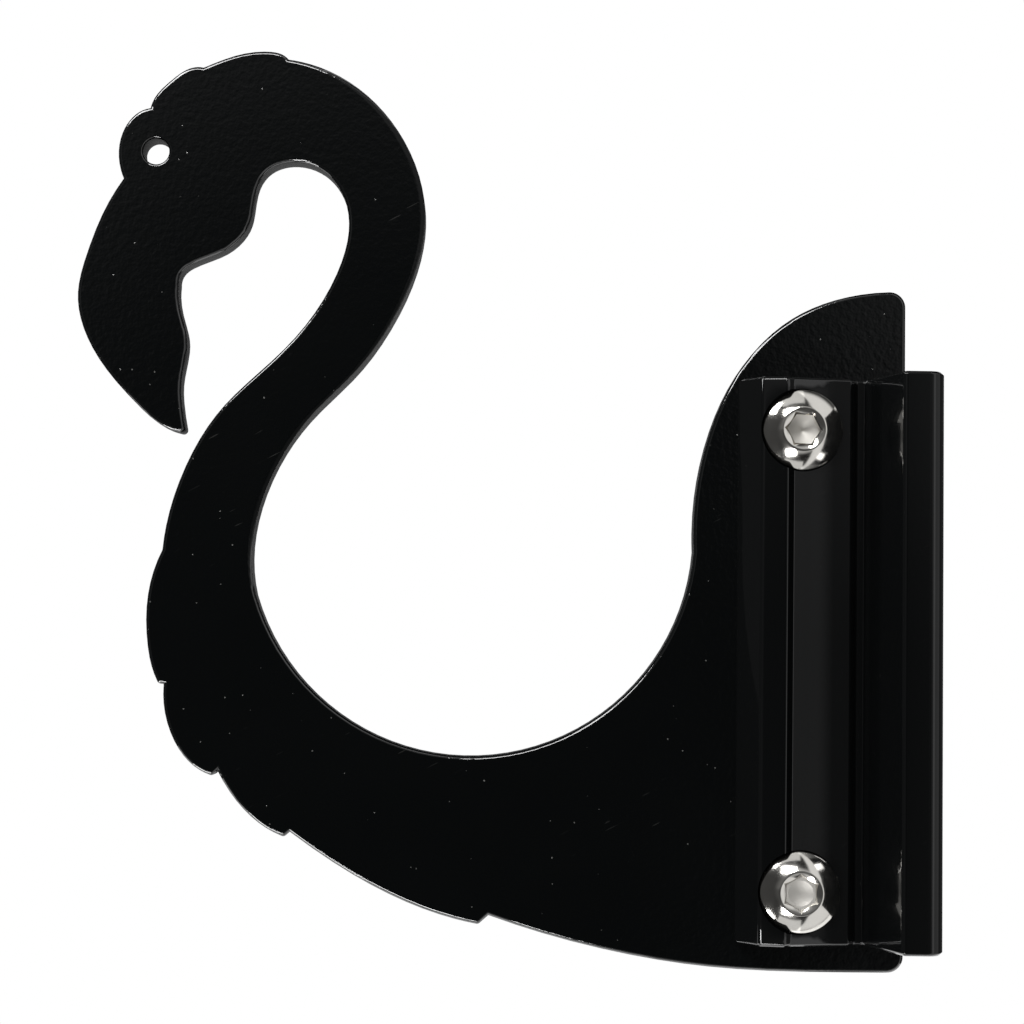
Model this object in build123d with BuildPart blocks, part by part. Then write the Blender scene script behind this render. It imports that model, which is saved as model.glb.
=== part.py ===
from build123d import *
import os

# Flamingo wall hook: a cut steel plate whose back edge is held between two
# clamp jaws by two button-head screws. Millimetres, +Z up. The plate lies in
# the XZ plane with its mid-plane at Y = 0, its straight back edge at X = 0,
# and Z = 0 is half way between the two screws. -Y is the front of the hook.

# Plate
plate_thickness = 4.76
half_plate = plate_thickness / 2
plate_edge_bevel = 0.5
feather_tip_round = 0.6
back_corner_round = 2.2
eye_diameter = 3.7
eye_edge_bevel = 0.35
eye_centre = (-105.9, 70.3)

# Screws, quarter-inch button head, through the plate and both jaws
screw_spacing = 63.5
screw_x = -15.0
screw_diameter = 6.35
screw_clearance = 6.9
tapped_hole = 6.4
screw_length = 15.9
screw_end_chamfer = 0.9
head_diameter = 11.1
head_height = 3.1
head_rim_height = 1.3
socket_flats = 3.97
socket_mouth = 5.8
socket_depth = 2.3
socket_drill_depth = 0.75
upper_socket_turn = -3
lower_socket_turn = 30

# Jaws, one extruded section; its heights are measured from the plate's face
jaw_length = 78.2
jaw_wall = 1.6
jaw_end_bevel = 0.45
toe_round = 0.65
toe_front_round = 0.9
crest_round = 0.6
valley_round = 0.35
ridge_inner_round = 0.7
ridge_outer_round = 2.3
lip_round = 0.65
web_curve = 40
seat_height = 3.35
spot_face_diameter = 11.5
toe_x = -23.5
toe_foot_draft = 0.2
toe_height = 0.8
brow_x = -20.6
brow_height = 5.0
crest_x = -17.1
crest_height = 5.6
web_left_x = -16.2
web_left_height = 4.75
web_middle_x = -12.0
web_middle_height = 3.7
web_right_x = -8.0
web_right_height = 3.1
valley_x = -7.1
valley_height = 2.0
ramp_foot_x = -6.0
ramp_top_x = -2.52
ridge_height = 13.9
lip_x = 3.2
lip_height = 4.0

FRONT = -1
screw_heights = (screw_spacing / 2, -screw_spacing / 2)


# Plate: corners of the outline as (X, Z), from the tail round the bird
back_top = (0, 51.9)
tail_foot = (-29.5, 14.9)
bight_bottom = (-60.7, -14.05)
bight_left = (-90.6, 8.0)
nape_notch = (-87.5, 83.75)
crown_notch = (-99.5, 82.4)
brow_notch = (-106.85, 76.5)
beak_notch = (-110.4, 66.4)
beak_tip = (-100.8, 30.5)
cheek = (-102.35, 51.5)
jowl = (-91.5, 65.8)
breast_top = (-103.75, 14.1)
breast_tip = (-103.9, -4.5)
breast_notch = (-103.15, -4.6)
second_tip = (-96.1, -17.2)
second_notch = (-95.4, -16.5)
third_tip = (-86.0, -25.5)
third_notch = (-85.2, -24.8)
fourth_tip = (-58.9, -37.15)
fourth_notch = (-57.5, -35.9)
back_bottom = (0, -43.05)

with BuildPart() as hook_plate:
    with BuildSketch(Plane.XZ.offset(-half_plate)) as outline:
        with BuildLine():
            # back edge, tail and the round bight where things hang
            Line(back_bottom, back_top)
            Spline(
                back_top, (-7.8, 51.2), (-16.2, 47.75), (-24.0, 39.3), (-27.6, 30.9),
                (-29.3, 22.4), tail_foot,
            )
            ThreePointArc(tail_foot, bight_bottom, bight_left)

            # inner side of the neck, the nape and the feathered crown
            Spline(
                bight_left, (-91.25, 13.0), (-89.4, 22.9), (-83.4, 32.9), (-77.2, 39.3),
                (-72.1, 46.7), (-68.7, 54.9), (-67.8, 61.5), (-71.0, 72.4), (-78.3, 80.3),
                nape_notch,
            )
            Spline(nape_notch, (-88.3, 84.4), (-90.5, 84.85), (-95.3, 84.1), crown_notch)
            Spline(
                crown_notch, (-100.7, 82.45), (-102.0, 82.0), (-103.9, 80.6), (-106.4, 77.8), brow_notch,
            )
            Spline(brow_notch, (-108.6, 75.8), (-110.6, 73.2), (-111.2, 70.2), beak_notch)

            # beak, cheek and the inside of the looped neck
            Spline(
                beak_notch, (-112.7, 62.5), (-115.3, 55.7), (-116.45, 49.7), (-114.3, 42.5),
                (-107.9, 34.6), (-104.0, 31.45), beak_tip,
            )
            Spline(beak_tip, (-101.5, 34.2), (-101.7, 37.7), (-101.0, 43.6), (-102.0, 47.6), cheek)
            Spline(
                cheek, (-101.75, 53.5), (-99.9, 54.7), (-95.65, 56.6), (-92.6, 60.2), jowl,
                (-90.2, 67.8), (-85.9, 69.15), (-81.3, 67.15), (-78.65, 61.7), (-79.9, 53.9),
                (-87.45, 42.4), (-96.1, 33.8), (-101.0, 25.3), breast_top,
            )

            # breast and belly feathers, each ending in a short rounded step
            Spline(breast_top, (-105.7, 7.1), (-105.6, 1.5), (-104.9, -2.1), breast_tip)
            Line(breast_tip, breast_notch)
            Spline(breast_notch, (-102.9, -8.5), (-102.0, -11.4), (-99.7, -15.0), second_tip)
            Line(second_tip, second_notch)
            Spline(second_notch, (-92.8, -20.5), (-89.0, -24.0), third_tip)
            Line(third_tip, third_notch)
            Spline(third_notch, (-76.8, -30.3), (-66.9, -35.0), fourth_tip)
            Line(fourth_tip, fourth_notch)
            Spline(
                fourth_notch, (-50.0, -38.25), (-41.2, -40.4), (-28.1, -42.45), (-7.3, -43.1),
                back_bottom,
            )
        make_face()
        for corner in (back_top, back_bottom):
            fillet(outline.vertices().sort_by_distance(corner)[0], radius=back_corner_round)
        for tip in (beak_tip, breast_tip, second_tip, third_tip, fourth_tip):
            fillet(outline.vertices().sort_by_distance(tip)[0], radius=feather_tip_round)
    extrude(amount=plate_thickness)
    chamfer(hook_plate.faces().filter_by(Axis.Y).edges(), length=plate_edge_bevel)

    with Locations(*(Plane((screw_x, 0, z), z_dir=(0, FRONT, 0)) for z in screw_heights)):
        Hole(screw_clearance / 2)
    with Locations(Plane((eye_centre[0], 0, eye_centre[1]), z_dir=(0, FRONT, 0))):
        Hole(eye_diameter / 2)
    eye_rims = hook_plate.edges().filter_by(GeomType.CIRCLE).filter_by(
        lambda edge: abs(edge.radius - eye_diameter / 2) < 0.01
    )
    chamfer(eye_rims, length=eye_edge_bevel)
hook_plate.part.label = "hook_plate"


def at(x, height):
    """Point of the front jaw's section at a height above the plate's front face."""
    return (x, FRONT * (half_plate + height))


# Jaw section: a heel flat on the plate from the toe to the foot of a steep
# ramp, then a hollow claw that reaches past the plate's back edge. The ramp
# and the claw's outer wall have the same thickness.
ramp = Vector(ramp_top_x - ramp_foot_x, ridge_height - valley_height).normalized()
inner_foot_x = ramp_foot_x + (jaw_wall - valley_height * ramp.X) / ramp.Y
inner_ridge_height = ridge_height - jaw_wall
inner_top_x = inner_foot_x + inner_ridge_height * ramp.X / ramp.Y
inner_wall_x = lip_x - jaw_wall
toe_foot = at(toe_x + toe_foot_draft, 0)
ramp_inner_foot = at(inner_foot_x, 0)

with BuildPart() as jaw_bar:
    with BuildSketch(Plane.XY.offset(-jaw_length / 2)):
        with BuildLine():
            FilletPolyline(
                toe_foot, at(toe_x, toe_height), at(brow_x, brow_height),
                at(crest_x, crest_height), at(web_left_x, web_left_height),
                at(web_middle_x, web_middle_height), at(web_right_x, web_right_height),
                at(valley_x, valley_height), at(ramp_foot_x, valley_height),
                at(ramp_top_x, ridge_height),
                at(lip_x, ridge_height), at(lip_x, lip_height), at(inner_wall_x, lip_height),
                at(inner_wall_x, inner_ridge_height), at(inner_top_x, inner_ridge_height),
                ramp_inner_foot,
                radius=(
                    toe_round, toe_front_round, toe_round, crest_round, web_curve, crest_round,
                    valley_round, valley_round, ridge_inner_round, ridge_outer_round,
                    lip_round, lip_round, ridge_inner_round, ridge_inner_round,
                ),
            )
            Line(ramp_inner_foot, toe_foot)
        make_face()
    extrude(amount=jaw_length)
    jaw_ends = jaw_bar.faces().filter_by(Axis.Z)
    chamfer(jaw_ends.edges(), length=jaw_end_bevel)

with BuildPart() as front_jaw:
    add(jaw_bar.part)
    crest_y = FRONT * (half_plate + crest_height)
    with Locations(*(Plane((screw_x, crest_y, z), z_dir=(0, FRONT, 0)) for z in screw_heights)):
        CounterBoreHole(
            radius=screw_clearance / 2,
            counter_bore_radius=spot_face_diameter / 2,
            counter_bore_depth=crest_height - seat_height,
        )
front_jaw.part.label = "front_jaw"

with BuildPart() as rear_jaw:
    # the same bar, turned end for end behind the plate
    add(jaw_bar.part.rotate(Axis.X, 180))
    with Locations(*(Plane((screw_x, 0, z), z_dir=(0, FRONT, 0)) for z in screw_heights)):
        Hole(tapped_hole / 2)
rear_jaw.part.label = "rear_jaw"


# Screws: distances along the screw are measured from the head's seat on the
# front jaw, positive towards the tip. The dome is part of a ball whose centre
# lies on the screw's axis.
seat_y = FRONT * (half_plate + seat_height)
rim_radius = head_diameter / 2
mouth_radius = socket_mouth / 2
dome_rise = head_height - head_rim_height
dome_centre = (rim_radius**2 - mouth_radius**2 - dome_rise**2) / (2 * dome_rise)
dome_radius = (rim_radius**2 + dome_centre**2) ** 0.5

screws = (
    ("upper_screw", screw_heights[0], upper_socket_turn),
    ("lower_screw", screw_heights[1], lower_socket_turn),
)

os.makedirs("parts", exist_ok=True)
export_step(hook_plate.part, "parts/hook_plate.step")
export_step(front_jaw.part, "parts/front_jaw.step")
export_step(rear_jaw.part, "parts/rear_jaw.step")

for name, z, socket_turn in screws:
    seat = Plane((screw_x, seat_y, z), x_dir=(1, 0, 0), z_dir=(0, 0, 1))
    head_top = Plane((screw_x, seat_y - head_height, z), x_dir=(1, 0, 0), z_dir=(0, FRONT, 0))
    with BuildPart() as screw:
        with BuildSketch(seat):
            with BuildLine():
                Polyline(
                    (0, socket_depth + socket_drill_depth - head_height), (0, screw_length),
                    (screw_diameter / 2 - screw_end_chamfer, screw_length),
                    (screw_diameter / 2, screw_length - screw_end_chamfer),
                    (screw_diameter / 2, 0), (rim_radius, 0), (rim_radius, -head_rim_height),
                )
                RadiusArc((rim_radius, -head_rim_height), (mouth_radius, -head_height), dome_radius)
                Polyline(
                    (mouth_radius, -head_height),
                    (socket_flats / 2, mouth_radius - socket_flats / 2 - head_height),
                    (socket_flats / 2, socket_depth - head_height),
                    (0, socket_depth + socket_drill_depth - head_height),
                )
            make_face()
        revolve(axis=Axis((screw_x, seat_y, z), (0, 1, 0)))
        with BuildSketch(head_top):
            RegularPolygon(socket_flats / 2, 6, major_radius=False, rotation=socket_turn)
        extrude(amount=-socket_depth, mode=Mode.SUBTRACT)
    screw.part.label = name
    export_step(screw.part, f"parts/{name}.step")
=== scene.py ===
import math
import bpy
from mathutils import Matrix, Vector


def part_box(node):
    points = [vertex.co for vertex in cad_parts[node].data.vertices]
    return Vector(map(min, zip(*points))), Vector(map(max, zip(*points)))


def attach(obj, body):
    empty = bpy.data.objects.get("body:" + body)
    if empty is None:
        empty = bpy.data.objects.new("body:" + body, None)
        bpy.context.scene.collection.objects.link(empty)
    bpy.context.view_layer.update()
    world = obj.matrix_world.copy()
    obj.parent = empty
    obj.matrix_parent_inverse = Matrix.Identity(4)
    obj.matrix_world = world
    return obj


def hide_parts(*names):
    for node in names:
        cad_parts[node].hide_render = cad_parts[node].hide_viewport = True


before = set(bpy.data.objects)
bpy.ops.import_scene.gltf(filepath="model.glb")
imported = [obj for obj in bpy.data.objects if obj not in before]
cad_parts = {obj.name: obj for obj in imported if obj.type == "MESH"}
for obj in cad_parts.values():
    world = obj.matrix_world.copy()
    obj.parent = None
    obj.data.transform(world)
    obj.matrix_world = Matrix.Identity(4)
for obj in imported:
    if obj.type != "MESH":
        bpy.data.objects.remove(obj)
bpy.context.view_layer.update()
MM = 0.001


# Hook plate: one piece of 4.76 mm steel plate, laser cut as a wading bird and
# tumbled, so that its edges are soft. It is sprayed and baked with gloss black
# powder, which keeps the fine ripple of orange peel and a few specks of dust.
def select_only(piece):
    bpy.ops.object.select_all(action="DESELECT")
    piece.select_set(True)
    bpy.context.view_layer.objects.active = piece


def apply_modifier(piece, kind, **settings):
    select_only(piece)
    modifier = piece.modifiers.new(kind.lower(), kind)
    for setting, value in settings.items():
        setattr(modifier, setting, value)
    bpy.ops.object.modifier_apply(modifier=modifier.name)


def merged_copy(node, name):
    """Copy of a CAD node as one closed skin, in place of its loose triangles."""
    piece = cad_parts[node].copy()
    piece.data = piece.data.copy()
    piece.name = name
    piece.data.name = name
    piece.parent = None
    piece.matrix_world = Matrix.Identity(4)
    bpy.context.scene.collection.objects.link(piece)
    piece.data.materials.clear()
    select_only(piece)
    bpy.ops.object.mode_set(mode="EDIT")
    bpy.ops.mesh.select_all(action="SELECT")
    bpy.ops.mesh.customdata_custom_splitnormals_clear()
    bpy.ops.mesh.remove_doubles(threshold=0.002 * MM)
    bpy.ops.mesh.dissolve_limited(angle_limit=math.radians(0.3))
    bpy.ops.object.mode_set(mode="OBJECT")
    return piece


def soften_edges(piece, crease_angle):
    """Shades bevels and curves as round, and leaves the flat faces flat."""
    select_only(piece)
    bpy.ops.object.shade_smooth_by_angle(angle=math.radians(crease_angle))
    apply_modifier(piece, "WEIGHTED_NORMAL", keep_sharp=True)


FLAT_NORMAL = 0.99


def on_flats(piece, operator, **settings):
    """Runs an edit-mode operator on the front and back faces alone."""
    select_only(piece)
    bpy.ops.object.mode_set(mode="EDIT")
    bpy.ops.mesh.select_mode(type="FACE")
    bpy.ops.mesh.select_all(action="DESELECT")
    bpy.ops.object.mode_set(mode="OBJECT")
    for face in piece.data.polygons:
        face.select = abs(face.normal.y) > FLAT_NORMAL
    bpy.ops.object.mode_set(mode="EDIT")
    operator(**settings)
    bpy.ops.mesh.select_mode(type="VERT")
    bpy.ops.object.mode_set(mode="OBJECT")


def new_group(name, inputs, outputs):
    group = bpy.data.node_groups.new(name, "ShaderNodeTree")
    for socket, kind in inputs:
        group.interface.new_socket(socket, in_out="INPUT", socket_type=kind)
    for socket, kind in outputs:
        group.interface.new_socket(socket, in_out="OUTPUT", socket_type=kind)
    source = group.nodes.new("NodeGroupInput")
    sink = group.nodes.new("NodeGroupOutput")
    return group, source.outputs, sink.inputs


def add_node(tree, kind, inputs=(), **settings):
    """Adds a node, sets its properties, and fills or links its inputs by name or place."""
    node = tree.nodes.new(kind)
    for setting, value in settings.items():
        setattr(node, setting, value)
    for key, value in dict(inputs).items():
        if isinstance(value, bpy.types.NodeSocket):
            tree.links.new(value, node.inputs[key])
        else:
            node.inputs[key].default_value = value
    return node


def ramp_mask(tree, value, low, high):
    """0 below low, 1 above high; the other way round where low is the larger."""
    return add_node(
        tree, "ShaderNodeMapRange",
        {"Value": value, "From Min": low, "From Max": high},
        interpolation_type="SMOOTHSTEP",
    ).outputs["Result"]


def calculate(tree, operation, *values):
    return add_node(tree, "ShaderNodeMath", dict(enumerate(values)), operation=operation).outputs[0]


def multiply(tree, first, second):
    return calculate(tree, "MULTIPLY", first, second)


def add(tree, first, second):
    return calculate(tree, "ADD", first, second)


def noise(tree, vector, scale, detail):
    return add_node(
        tree, "ShaderNodeTexNoise", {"Vector": vector, "Scale": scale, "Detail": detail},
    ).outputs["Fac"]


def noise_range(tree, value, least, most):
    """Spreads the middle of a noise over the range from least to most."""
    return add_node(
        tree, "ShaderNodeMapRange",
        {"Value": value, "From Min": 0.3, "From Max": 0.7, "To Min": least, "To Max": most},
    ).outputs["Result"]


def mix_colours(tree, share, first, second):
    """The first colour where share is 0, the second where it is 1."""
    return add_node(
        tree, "ShaderNodeMix", {0: share, 6: first, 7: second}, data_type="RGBA",
    ).outputs[2]


PEEL_SCALE = 1500
CLOUD_SCALE = 60
DUST_SCALE = 420
DUST_EDGE_SCALE = 6000
DUST_CORE = 0.6
HAIR_LEAN = math.radians(28)
HAIR_STRETCH = (330, 900, 4200)


coat_marks, marks_in, marks_out = new_group(
    "coat_marks",
    (("Vector", "NodeSocketVector"), ("Speck Size", "NodeSocketFloat"),
     ("Scratch Amount", "NodeSocketFloat")),
    (("Peel", "NodeSocketFloat"), ("Cloud", "NodeSocketFloat"), ("Speck", "NodeSocketFloat"),
     ("Scratch", "NodeSocketFloat")),
)
peel = noise(coat_marks, marks_in["Vector"], PEEL_SCALE, 1.0)
cloud = noise(coat_marks, marks_in["Vector"], CLOUD_SCALE, 3.0)
dust = add_node(coat_marks, "ShaderNodeTexVoronoi", {"Vector": marks_in["Vector"], "Scale": DUST_SCALE})
dust_warp = noise(coat_marks, marks_in["Vector"], DUST_EDGE_SCALE, 1.0)
dust_size = multiply(coat_marks, marks_in["Speck Size"], dust_warp)
dust_spot = add_node(
    coat_marks, "ShaderNodeMapRange",
    {"Value": dust.outputs["Distance"], "From Min": dust_size,
     "From Max": multiply(coat_marks, dust_size, DUST_CORE)},
).outputs["Result"]
hair_turn = add_node(
    coat_marks, "ShaderNodeVectorRotate",
    {"Vector": marks_in["Vector"], "Angle": HAIR_LEAN}, rotation_type="Y_AXIS",
)
hair_frame = add_node(
    coat_marks, "ShaderNodeMapping", {"Vector": hair_turn.outputs[0], "Scale": HAIR_STRETCH},
)
hair_line = ramp_mask(coat_marks, noise(coat_marks, hair_frame.outputs[0], 1.0, 0.0), 0.8, 0.86)
hair_place = ramp_mask(coat_marks, cloud, 0.5, 0.62)
hair_amount = multiply(coat_marks, hair_place, marks_in["Scratch Amount"])
for socket, result in (
    ("Peel", peel),
    ("Cloud", cloud),
    ("Speck", dust_spot),
    ("Scratch", multiply(coat_marks, hair_line, hair_amount)),
):
    coat_marks.links.new(result, marks_out[socket])


DIRT_COLOUR = (0.11, 0.11, 0.105, 1)
DIRT_ROUGHNESS = 0.4
SPECK_HEIGHT = 0.5
SHEEN_SPREAD = 0.04


def coated_black(name, black, sheen, gloss, depth, ripple, speck_size, scratch_amount):
    """Gloss black baked coat: ripple in the reflections, pale dust and hairline rubs."""
    material = bpy.data.materials.new(name)
    material.use_nodes = True
    tree = material.node_tree
    shader = tree.nodes["Principled BSDF"]
    marks = tree.nodes.new("ShaderNodeGroup")
    marks.node_tree = coat_marks
    tree.links.new(add_node(tree, "ShaderNodeTexCoord").outputs["Object"], marks.inputs["Vector"])
    marks.inputs["Speck Size"].default_value = speck_size
    marks.inputs["Scratch Amount"].default_value = scratch_amount
    dirt = add(tree, marks.outputs["Speck"], marks.outputs["Scratch"])
    colour = mix_colours(tree, dirt, (*black, 1), DIRT_COLOUR)
    tree.links.new(colour, shader.inputs["Base Color"])
    rough = noise_range(tree, marks.outputs["Cloud"], sheen - SHEEN_SPREAD, sheen + SHEEN_SPREAD)
    rough = add(tree, rough, multiply(tree, dirt, DIRT_ROUGHNESS))
    tree.links.new(rough, shader.inputs["Roughness"])
    height = add(tree, marks.outputs["Peel"], multiply(tree, marks.outputs["Speck"], SPECK_HEIGHT))
    bump = add_node(tree, "ShaderNodeBump", {"Height": height, "Distance": ripple, "Strength": 1.0})
    tree.links.new(bump.outputs[0], shader.inputs["Normal"])
    tree.links.new(bump.outputs[0], shader.inputs["Coat Normal"])
    shader.inputs["Specular IOR Level"].default_value = 0.02
    shader.inputs["Coat Weight"].default_value = 1.0
    shader.inputs["Coat IOR"].default_value = depth
    shader.inputs["Coat Roughness"].default_value = gloss
    return material


SLIVER_TURN = math.radians(8)
CUT_EDGE_NORMAL = 0.3
plate_coat = coated_black(
    "plate_coat", (0.0009, 0.0012, 0.0013), sheen=0.45, gloss=0.06, depth=1.75, ripple=0.02 * MM,
    speck_size=0.09, scratch_amount=0.15,
)
plate = merged_copy("hook_plate", "bird_plate")
on_flats(plate, bpy.ops.mesh.dissolve_limited, angle_limit=SLIVER_TURN)
soften_edges(plate, crease_angle=50)
on_flats(plate, bpy.ops.mesh.set_normals_from_faces, keep_sharp=True)
plate.data.materials.append(plate_coat)
cut_edge_coat = coated_black(
    "cut_edge_coat", (0.0030, 0.0033, 0.0035), sheen=0.6, gloss=0.5, depth=1.5, ripple=0.03 * MM,
    speck_size=0.02, scratch_amount=0.0,
)
edge_shader = cut_edge_coat.node_tree.nodes["Principled BSDF"]
edge_shader.inputs["Specular IOR Level"].default_value = 0.22
edge_shader.inputs["Coat Weight"].default_value = 0.0
plate.data.materials.append(cut_edge_coat)
for face in plate.data.polygons:
    face.material_index = 1 if abs(face.normal.y) < CUT_EDGE_NORMAL else 0
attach(plate, "root")
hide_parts("hook_plate")


# Jaws: two lengths of one extruded bar, cut, drilled and coated satin black.
# Each bears on the plate with a wide heel, and the claw on its outer side
# hooks over the rail behind the plate's edge. The screws pull them together.
jaw_coat = coated_black(
    "jaw_coat", (0.0016, 0.0018, 0.0019), sheen=0.3, gloss=0.05, depth=1.55, ripple=0.002 * MM,
    speck_size=0.03, scratch_amount=0.05,
)
for node, name in (("front_jaw", "front_clamp_jaw"), ("rear_jaw", "rear_clamp_jaw")):
    jaw = merged_copy(node, name)
    soften_edges(jaw, crease_angle=46)
    jaw.data.materials.append(jaw_coat)
    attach(jaw, "root")
    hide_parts(node)


# Screws: stainless button-head screws with a hexagon socket, head turned
# bright and thread rolled. They pass through the front jaw and the plate and
# bite in the rear jaw, where the last turns of thread stand out.
THREAD_PITCH = 1.27 * MM
THREAD_CREST = 3.17 * MM
THREAD_ROOT = 2.45 * MM
FLANK_START = THREAD_PITCH * 0.25
CREST_START = THREAD_PITCH * 0.56
CREST_END = THREAD_PITCH * 0.69
THREAD_LEAD = THREAD_PITCH * 1.5
SCREW_LENGTH = 15.9 * MM
TIP_TAPER = 0.78
HEAD_HEIGHT = 3.1 * MM
HEAD_RADIUS = 5.55 * MM
HEAD_RIM = 1.3 * MM
HEAD_SIDES = 96
SEAT_CHAMFER = HEAD_RIM * 0.2
EDGE_BEVEL = 0.1 * MM
EDGE_BEVEL_FROM = math.radians(28)
MOUTH_RADIUS = 2.9 * MM
MOUTH_SLOPE = math.tan(math.radians(24))
SOCKET_FLATS = 3.97 * MM
SOCKET_CORNER = SOCKET_FLATS / math.sqrt(3)
SOCKET_DEPTH = 2.3 * MM
DRILL_DEPTH = 0.5 * MM
SOCKET_EDGE = 0.3 * MM
FLARE_DEPTH = 0.5 * MM
FLARE_SPARE = 0.02 * MM
PUNCH_TIP = 0.12 * MM
DOME_STEPS = 12
DOME_RISE = HEAD_HEIGHT - HEAD_RIM
DOME_CENTRE = (HEAD_RADIUS**2 - MOUTH_RADIUS**2 - DOME_RISE**2) / (2 * DOME_RISE) - HEAD_RIM
DOME_RADIUS = math.hypot(HEAD_RADIUS, DOME_CENTRE + HEAD_RIM)
DOME_LEAST = math.asin(MOUTH_RADIUS / DOME_RADIUS)
DOME_MOST = math.asin(HEAD_RADIUS / DOME_RADIUS)
THREAD_STEPS = 40
WELD = 0.001 * MM

GRAIN_SCALE = 2600
SMEAR_SCALE = 420
turned_steel, turned_in, turned_out = new_group(
    "turned_steel",
    (("Vector", "NodeSocketVector"),),
    (("Grain", "NodeSocketFloat"), ("Smear", "NodeSocketFloat")),
)
turned_steel.links.new(noise(turned_steel, turned_in["Vector"], GRAIN_SCALE, 2.0), turned_out["Grain"])
turned_steel.links.new(noise(turned_steel, turned_in["Vector"], SMEAR_SCALE, 3.0), turned_out["Smear"])


def steel(name, grey, smoothest, roughest, grain):
    """Stainless steel: a faint grain and a smear of darker and duller places."""
    material = bpy.data.materials.new(name)
    material.use_nodes = True
    tree = material.node_tree
    shader = tree.nodes["Principled BSDF"]
    marks = tree.nodes.new("ShaderNodeGroup")
    marks.node_tree = turned_steel
    tree.links.new(add_node(tree, "ShaderNodeTexCoord").outputs["Object"], marks.inputs["Vector"])
    shader.inputs["Metallic"].default_value = 1.0
    darker = (grey * 0.88, grey * 0.855, grey * 0.80, 1)
    lighter = (grey, grey * 0.975, grey * 0.925, 1)
    colour = mix_colours(tree, marks.outputs["Smear"], darker, lighter)
    tree.links.new(colour, shader.inputs["Base Color"])
    rough = noise_range(tree, marks.outputs["Smear"], smoothest, roughest)
    tree.links.new(rough, shader.inputs["Roughness"])
    bump = add_node(
        tree, "ShaderNodeBump", {"Height": marks.outputs["Grain"], "Distance": grain, "Strength": 1.0},
    )
    tree.links.new(bump.outputs[0], shader.inputs["Normal"])
    return material


stainless = steel("bright_stainless", 0.76, smoothest=0.08, roughest=0.16, grain=0.0015 * MM)
punched_stainless = steel("punched_stainless", 0.58, smoothest=0.55, roughest=0.65, grain=0.01 * MM)


def profile(radius_and_step):
    """Open chain of points, as radius and place along Y, drawn point by point."""
    bpy.ops.object.select_all(action="DESELECT")
    bpy.ops.mesh.primitive_plane_add(size=THREAD_PITCH)
    chain = bpy.context.object
    bpy.ops.object.mode_set(mode="EDIT")
    bpy.ops.mesh.select_all(action="SELECT")
    bpy.ops.mesh.merge(type="CENTER")
    radius, along = radius_and_step[0]
    bpy.ops.transform.translate(value=(radius, along, 0))
    for next_radius, next_along in radius_and_step[1:]:
        bpy.ops.mesh.extrude_vertices_move(
            TRANSFORM_OT_translate={"value": (next_radius - radius, next_along - along, 0)}
        )
        radius, along = next_radius, next_along
    bpy.ops.object.mode_set(mode="OBJECT")
    return chain


def threaded_shank(name, seat):
    """Rolled thread from just inside the head to the chamfered tip, along +Y."""
    turns = math.ceil(SCREW_LENGTH / THREAD_PITCH) + 3
    shank = profile((
        (THREAD_ROOT, 0), (THREAD_ROOT, FLANK_START), (THREAD_CREST, CREST_START),
        (THREAD_CREST, CREST_END), (THREAD_ROOT, THREAD_PITCH),
    ))
    shank.name = name
    apply_modifier(
        shank, "SCREW", axis="Y", angle=math.tau, screw_offset=THREAD_PITCH, iterations=turns,
        steps=THREAD_STEPS, render_steps=THREAD_STEPS, use_merge_vertices=True, merge_threshold=WELD,
    )
    start, end = THREAD_LEAD, THREAD_LEAD + SCREW_LENGTH
    bpy.ops.object.mode_set(mode="EDIT")
    bpy.ops.mesh.select_all(action="SELECT")
    bpy.ops.mesh.remove_doubles(threshold=WELD)
    for along, outward in ((start, -1), (end, 1)):
        bpy.ops.mesh.select_all(action="SELECT")
        bpy.ops.mesh.bisect(
            plane_co=(0, along, 0), plane_no=(0, outward, 0), use_fill=True, clear_outer=True
        )
    bpy.ops.transform.resize(value=(TIP_TAPER, 1, TIP_TAPER), center_override=(0, end, 0))
    bpy.ops.mesh.select_all(action="SELECT")
    bpy.ops.mesh.normals_make_consistent(inside=False)
    bpy.ops.transform.translate(value=(seat.x, seat.y - start, seat.z))
    bpy.ops.object.mode_set(mode="OBJECT")
    return shank


def turned_profile(name, points, steps):
    """Closed solid of revolution about Y; the first and last points lie on the axis."""
    solid = profile(points)
    solid.name = name
    apply_modifier(
        solid, "SCREW", axis="Y", angle=math.tau, steps=steps, render_steps=steps,
        use_merge_vertices=True, merge_threshold=WELD,
    )
    bpy.ops.object.mode_set(mode="EDIT")
    bpy.ops.mesh.select_all(action="SELECT")
    bpy.ops.mesh.remove_doubles(threshold=WELD)
    bpy.ops.mesh.normals_make_consistent(inside=False)
    bpy.ops.object.mode_set(mode="OBJECT")
    return solid


def cut(piece, cutter):
    apply_modifier(piece, "BOOLEAN", object=cutter, operation="DIFFERENCE", solver="EXACT")
    bpy.data.objects.remove(cutter)


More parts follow.
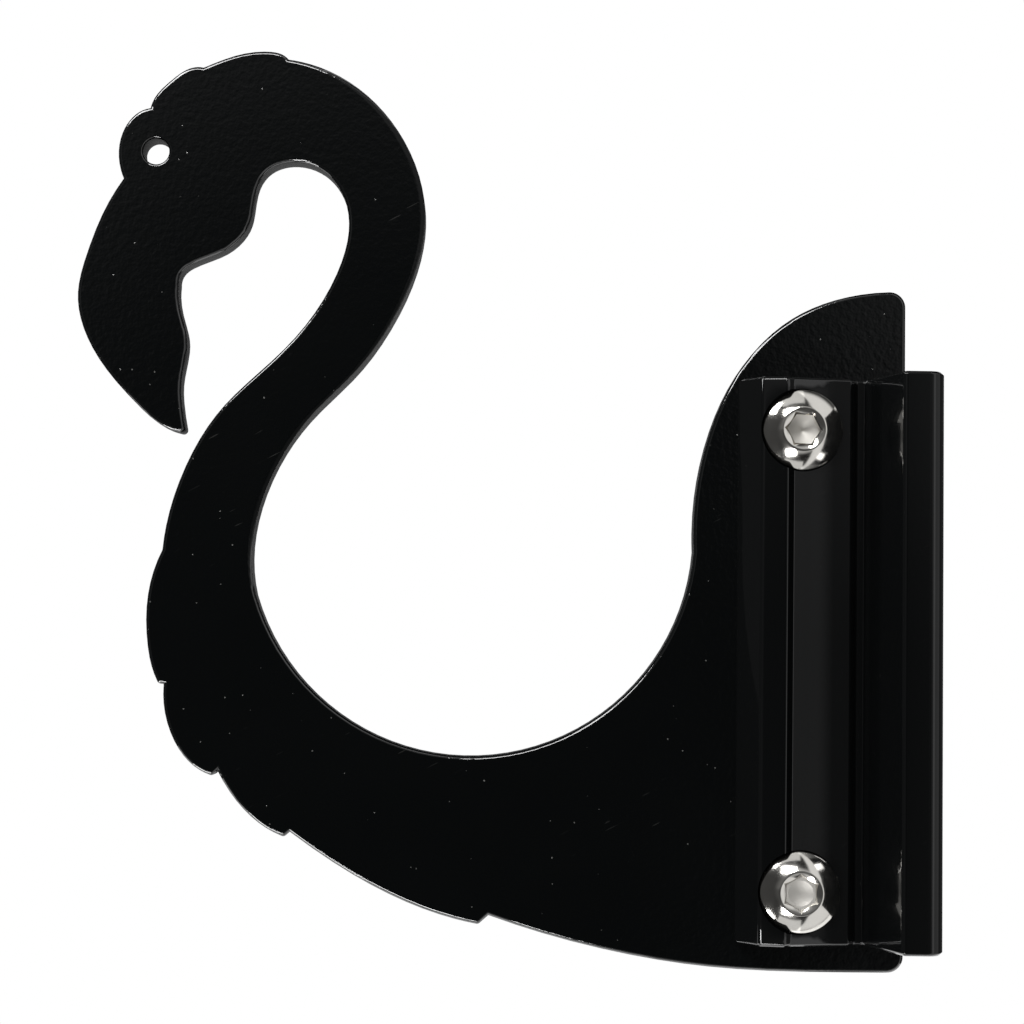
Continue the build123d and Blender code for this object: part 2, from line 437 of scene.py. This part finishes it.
def button_head(name, socket_turn):
    """Domed head with a countersunk hexagon socket, its seat at Y = 0."""
    leans = [DOME_LEAST + (DOME_MOST - DOME_LEAST) * step / DOME_STEPS for step in range(DOME_STEPS + 1)]
    arc = [(DOME_RADIUS * math.sin(lean), DOME_CENTRE - DOME_RADIUS * math.cos(lean)) for lean in leans]
    top = -HEAD_HEIGHT
    head = turned_profile(name, (
        (0, top + MOUTH_RADIUS * MOUTH_SLOPE), *arc, (HEAD_RADIUS, -SEAT_CHAMFER),
        (HEAD_RADIUS - SEAT_CHAMFER, 0), (0, 0),
    ), HEAD_SIDES)
    apply_modifier(
        head, "BEVEL", width=EDGE_BEVEL, segments=2, limit_method="ANGLE", angle_limit=EDGE_BEVEL_FROM,
    )
    way_in = (math.radians(90), math.radians(30 - socket_turn), 0)
    bpy.ops.object.select_all(action="DESELECT")
    bpy.ops.mesh.primitive_cone_add(
        vertices=6, radius1=SOCKET_CORNER - FLARE_SPARE, radius2=SOCKET_CORNER + FLARE_DEPTH,
        depth=FLARE_DEPTH + FLARE_SPARE, rotation=way_in,
        location=(0, top + (FLARE_DEPTH + FLARE_SPARE) / 2, 0),
    )
    flare = bpy.context.object
    bpy.ops.object.transform_apply(location=True, rotation=True, scale=True)
    cut(head, flare)
    bpy.ops.object.select_all(action="DESELECT")
    bpy.ops.mesh.primitive_cylinder_add(
        vertices=6, radius=SOCKET_CORNER, depth=HEAD_HEIGHT * 2, rotation=way_in, location=(0, top, 0),
    )
    hexagon = bpy.context.object
    bpy.ops.object.transform_apply(location=True, rotation=True, scale=True)
    punch = turned_profile("punch", (
        (0, top - MM), (MOUTH_RADIUS, top - MM), (MOUTH_RADIUS, top + SOCKET_DEPTH - DRILL_DEPTH),
        (PUNCH_TIP, top + SOCKET_DEPTH + DRILL_DEPTH * 0.9), (0, top + SOCKET_DEPTH + DRILL_DEPTH),
    ), HEAD_SIDES)
    apply_modifier(punch, "BOOLEAN", object=hexagon, operation="INTERSECT", solver="EXACT")
    bpy.data.objects.remove(hexagon)
    cut(head, punch)
    return head


def socket_screw(node, name, socket_turn):
    low, high = (Vector(corner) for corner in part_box(node))
    seat = Vector(((low.x + high.x) / 2, low.y + HEAD_HEIGHT, (low.z + high.z) / 2))
    screw = button_head(name, socket_turn)
    select_only(screw)
    bpy.ops.object.mode_set(mode="EDIT")
    bpy.ops.mesh.select_all(action="SELECT")
    bpy.ops.transform.translate(value=seat)
    bpy.ops.object.mode_set(mode="OBJECT")
    soften_edges(screw, crease_angle=16)
    screw.data.materials.append(stainless)
    screw.data.materials.append(punched_stainless)
    for face in screw.data.polygons:
        away = math.hypot(face.center.x - seat.x, face.center.z - seat.z)
        deep = face.center.y > seat.y - HEAD_HEIGHT + SOCKET_EDGE
        punched = deep and away < SOCKET_CORNER and abs(face.normal.y) > 0.5
        face.material_index = 1 if punched else 0
    shank = threaded_shank(name + "_shank", seat)
    shank.data.materials.append(stainless)
    soften_edges(shank, crease_angle=20)
    bpy.ops.object.select_all(action="DESELECT")
    shank.select_set(True)
    screw.select_set(True)
    bpy.context.view_layer.objects.active = screw
    bpy.ops.object.join()
    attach(screw, "root")
    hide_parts(node)


socket_screw("upper_screw", "upper_socket_screw", socket_turn=-3)
socket_screw("lower_screw", "lower_socket_screw", socket_turn=30)


# Studio: a pale floor below the hook in a room that is white behind and to the
# right and dark in front. Two large soft boxes stand above and below in front,
# two small ones above and below at the left, with a card over and one under.
def studio_white(name, ground, lift):
    """White to the camera and in reflections, plain pale paint to the lamps."""
    material = bpy.data.materials.new(name)
    material.use_nodes = True
    tree = material.node_tree
    paint = tree.nodes["Principled BSDF"]
    paint.inputs["Base Color"].default_value = ground
    paint.inputs["Roughness"].default_value = 0.8
    ray = add_node(tree, "ShaderNodeLightPath").outputs
    seen = calculate(tree, "MAXIMUM", ray["Is Camera Ray"], ray["Is Glossy Ray"])
    seen = calculate(tree, "MAXIMUM", seen, ray["Is Transmission Ray"])
    tree.links.new(multiply(tree, seen, lift), paint.inputs["Emission Strength"])
    paint.inputs["Emission Color"].default_value = (1, 1, 1, 1)
    return material


bpy.ops.object.select_all(action="DESELECT")
bpy.ops.mesh.primitive_plane_add(size=1.8, location=(-0.05, 0.9, -0.5))
floor = bpy.context.object
floor.name = "floor"
floor.data.materials.append(studio_white("floor_white", (0.8, 0.8, 0.8, 1), 0.8))


def soft_box(name, place, target, width, height, radiance):
    lamp = bpy.data.lights.new(name, "AREA")
    lamp.shape = "RECTANGLE"
    lamp.size = width
    lamp.size_y = height
    lamp.energy = radiance * math.pi * width * height
    holder = bpy.data.objects.new(name, lamp)
    bpy.context.scene.collection.objects.link(holder)
    holder.location = place
    holder.rotation_euler = (Vector(target) - Vector(place)).to_track_quat("-Z", "Y").to_euler()
    holder.visible_camera = False


HOOK_MIDDLE = (-0.055, 0, 0.015)
HOOK_LEFT = (-0.09, 0.02, 0)
soft_box("upper_box", (-0.215, -0.48, 0.46), HOOK_MIDDLE, 0.35, 0.14, 22)
soft_box("lower_box", (-0.235, -0.46, -0.47), HOOK_MIDDLE, 0.22, 0.16, 22)
soft_box("upper_side_box", (-0.228, -0.05, 0.238), HOOK_LEFT, 0.126, 0.113, 14)
soft_box("lower_side_box", (-0.262, -0.03, -0.27), HOOK_LEFT, 0.12, 0.1, 14)
soft_box("top_card", (-0.09, -0.07, 0.35), HOOK_LEFT, 0.24, 0.2, 0.7)
soft_box("bottom_card", (-0.09, -0.07, -0.35), HOOK_LEFT, 0.24, 0.2, 0.7)

ROOM_DARK = 0.009
ROOM_WHITE = 0.85
ROOM_FILL = 0.25
world = bpy.data.worlds.new("white_room")
bpy.context.scene.world = world
world.use_nodes = True
room = world.node_tree
room_ray = add_node(room, "ShaderNodeLightPath").outputs
direction = add_node(room, "ShaderNodeTexCoord").outputs["Generated"]
way = add_node(room, "ShaderNodeSeparateXYZ", {0: direction}).outputs
way_x, way_y, way_z = (way[axis] for axis in "XYZ")


def squared(tree, value, centre, radius):
    """Square of the distance from the centre, measured in radii."""
    ratio = calculate(tree, "DIVIDE", calculate(tree, "SUBTRACT", value, centre), radius)
    return multiply(tree, ratio, ratio)


# the dark place where the camera stands, with a dim ring of room round it
shade = add(room, squared(room, way_x, -0.04, 0.2), squared(room, way_z, 0.0, 0.26))
ring = multiply(room, ramp_mask(room, shade, 0.3, 2.2), ramp_mask(room, way_y, -0.62, -0.78))
bright_ring = multiply(
    room, multiply(room, ramp_mask(room, way_y, -0.8, -0.74), ramp_mask(room, way_y, -0.62, -0.72)),
    ramp_mask(room, way_x, -0.5, -0.1),
)
behind = ramp_mask(room, way_y, 0.8, 0.9)
right_hand = multiply(
    room, ramp_mask(room, add(room, way_x, multiply(room, way_y, 0.577)), 0.0, 0.04),
    multiply(room, ramp_mask(room, way_y, 0.1, -0.1), ramp_mask(room, way_y, -0.83, -0.73)),
)
level_right = multiply(
    room, ramp_mask(room, multiply(room, way_z, way_z), 0.14, 0.06),
    ramp_mask(room, way_y, -0.66, -0.56),
)
right_hand = multiply(room, right_hand, calculate(room, "MULTIPLY_ADD", level_right, -0.5, 1.0))
lit = calculate(room, "MAXIMUM", behind, right_hand)
overhead = calculate(room, "MULTIPLY_ADD", ramp_mask(room, way_z, 0.0, 0.12), 0.09, 0.06)
rings = add(room, multiply(room, ring, overhead), multiply(room, bright_ring, 0.5))
rings = add(room, rings, multiply(room, ramp_mask(room, way_x, -0.5, -0.8), 0.05))
web_strip = multiply(room, ramp_mask(room, way_x, 0.43, 0.54), ramp_mask(room, way_y, -0.79, -0.815))
rings = add(room, rings, multiply(room, web_strip, 0.17))
rings = add(room, rings, multiply(
    room, multiply(room, ramp_mask(room, way_x, 0.6, 0.8), ramp_mask(room, way_y, -0.2, 0.1)), 0.1,
))
lit = calculate(room, "MAXIMUM", lit, rings)
room_glow = add_node(
    room, "ShaderNodeMapRange", {"Value": lit, "To Min": ROOM_DARK, "To Max": ROOM_WHITE},
).outputs["Result"]
room_gloss = calculate(room, "MAXIMUM", room_ray["Is Glossy Ray"], room_ray["Is Transmission Ray"])
room_seen = calculate(
    room, "MAXIMUM", room_ray["Is Camera Ray"], multiply(room, room_gloss, room_glow),
)
others = calculate(room, "SUBTRACT", 1.0, add(room, room_ray["Is Camera Ray"], room_gloss))
room_light = calculate(room, "MAXIMUM", room_seen, multiply(room, others, ROOM_FILL))
room.links.new(room_light, room.nodes["Background"].inputs["Strength"])
room.nodes["Background"].inputs["Color"].default_value = (1, 1, 1, 1)


# Camera: a long lens a third of a metre in front of the middle of the hook,
# turned so slightly that the plate stays square to it.
CAMERA_PLACE = Vector((-57.787, -337.170, -0.621)) * MM
CAMERA_RIGHT = Vector((0.999858, -0.009149, 0.014148))
CAMERA_DOWN = Vector((0.014685, 0.061548, -0.997996))
CAMERA_AHEAD = Vector((0.00826, 0.99806, 0.06167))
camera_data = bpy.data.cameras.new("camera")
camera_data.lens = 84.375
camera_data.sensor_width = 36
camera_data.clip_start = 0.01
camera = bpy.data.objects.new("camera", camera_data)
bpy.context.scene.collection.objects.link(camera)
turn = Matrix((CAMERA_RIGHT, -CAMERA_DOWN, -CAMERA_AHEAD)).transposed()
camera.matrix_world = Matrix.Translation(CAMERA_PLACE) @ turn.to_4x4()
bpy.context.scene.camera = camera

bpy.context.scene.view_settings.view_transform = "Standard"
